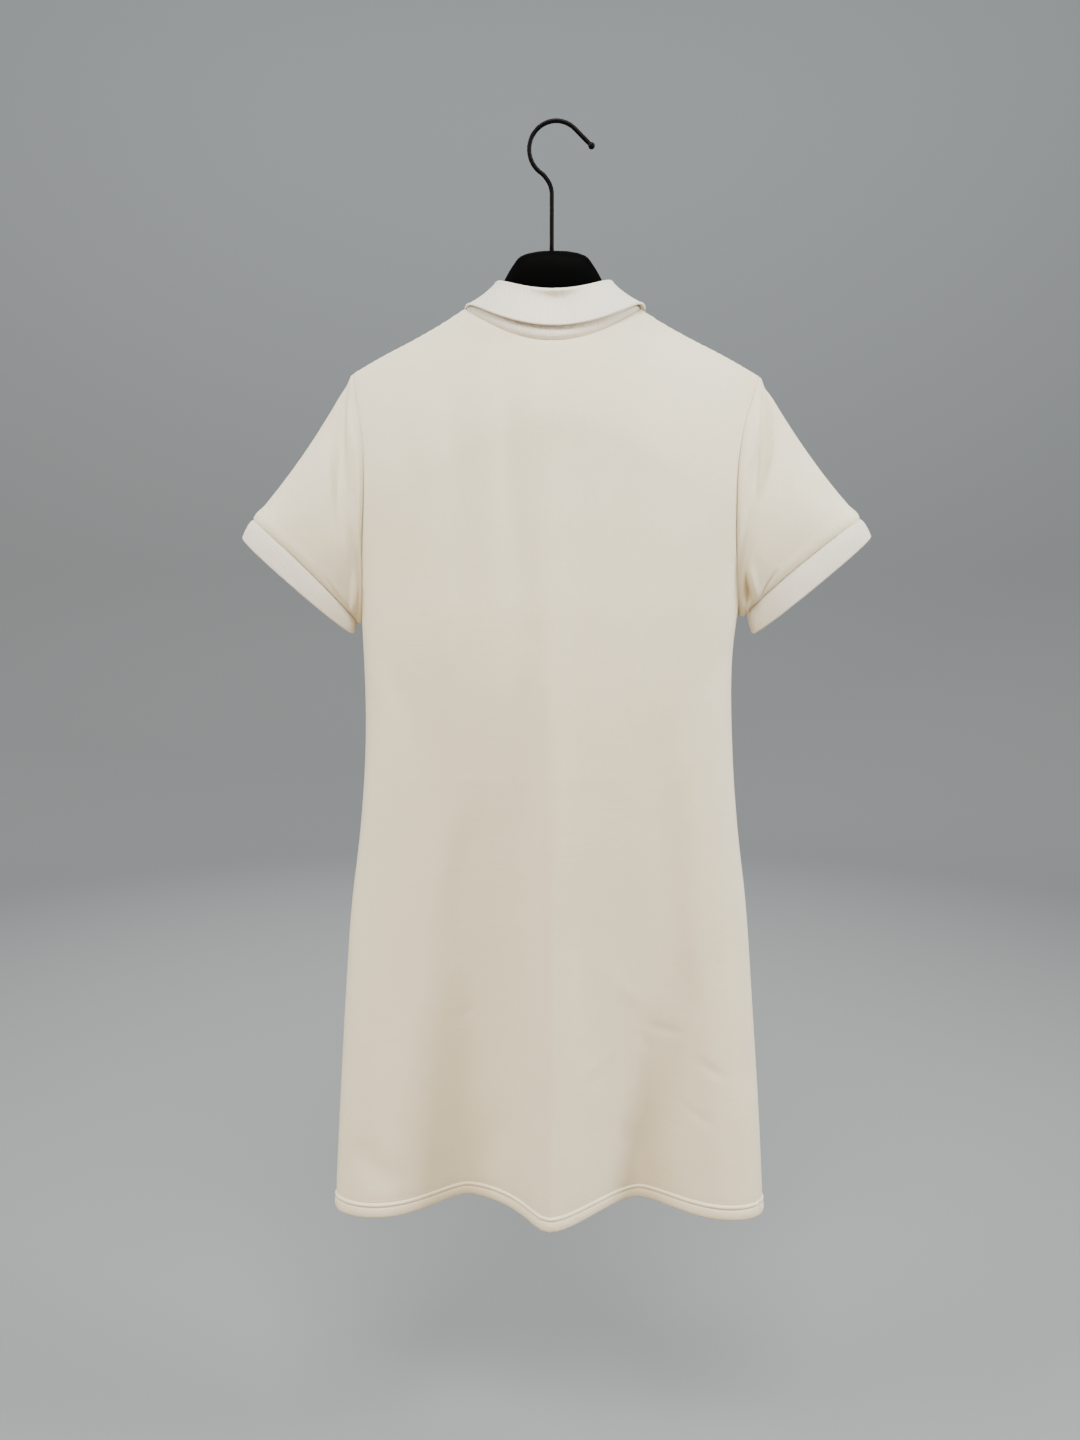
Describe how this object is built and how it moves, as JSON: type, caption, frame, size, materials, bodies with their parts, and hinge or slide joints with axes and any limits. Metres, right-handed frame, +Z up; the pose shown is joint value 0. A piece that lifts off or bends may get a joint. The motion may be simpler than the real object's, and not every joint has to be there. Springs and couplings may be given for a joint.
{
  "type": "polo dress on a hanger",
  "caption": "Short-sleeved knitted polo dress with a folded collar and a wavy hem, hanging hollow on a contoured hanger with a wire hook.",
  "frame": {"origin": "the inner crown of the hanger's hook, where the peg holds it, on the hanger's middle plane", "axes": "+Z up, +X towards the wearer's left, +Y towards the garment's back"},
  "size_m": [0.5588, 0.1399, 0.9852],
  "materials": {
    "knit": "off-white double-knit cotton, matt",
    "rib": "whiter flat-knit rib, matt",
    "button": "white, soft gloss",
    "hanger": "black, matt",
    "hook": "black, satin"
  },
  "bodies": {
    "root": {"back_panel": "knit", "front_panel": "knit", "sleeve_left": "knit", "sleeve_right": "knit", "cuff_left": "rib", "cuff_right": "rib", "collar": "rib", "neck_band": "rib", "placket_top": "knit", "placket_under": "knit", "button_1": "button", "button_2": "button", "button_3": "button", "hanger_body": "hanger", "hanger_hook": "hook"}
  },
  "joints": []
}
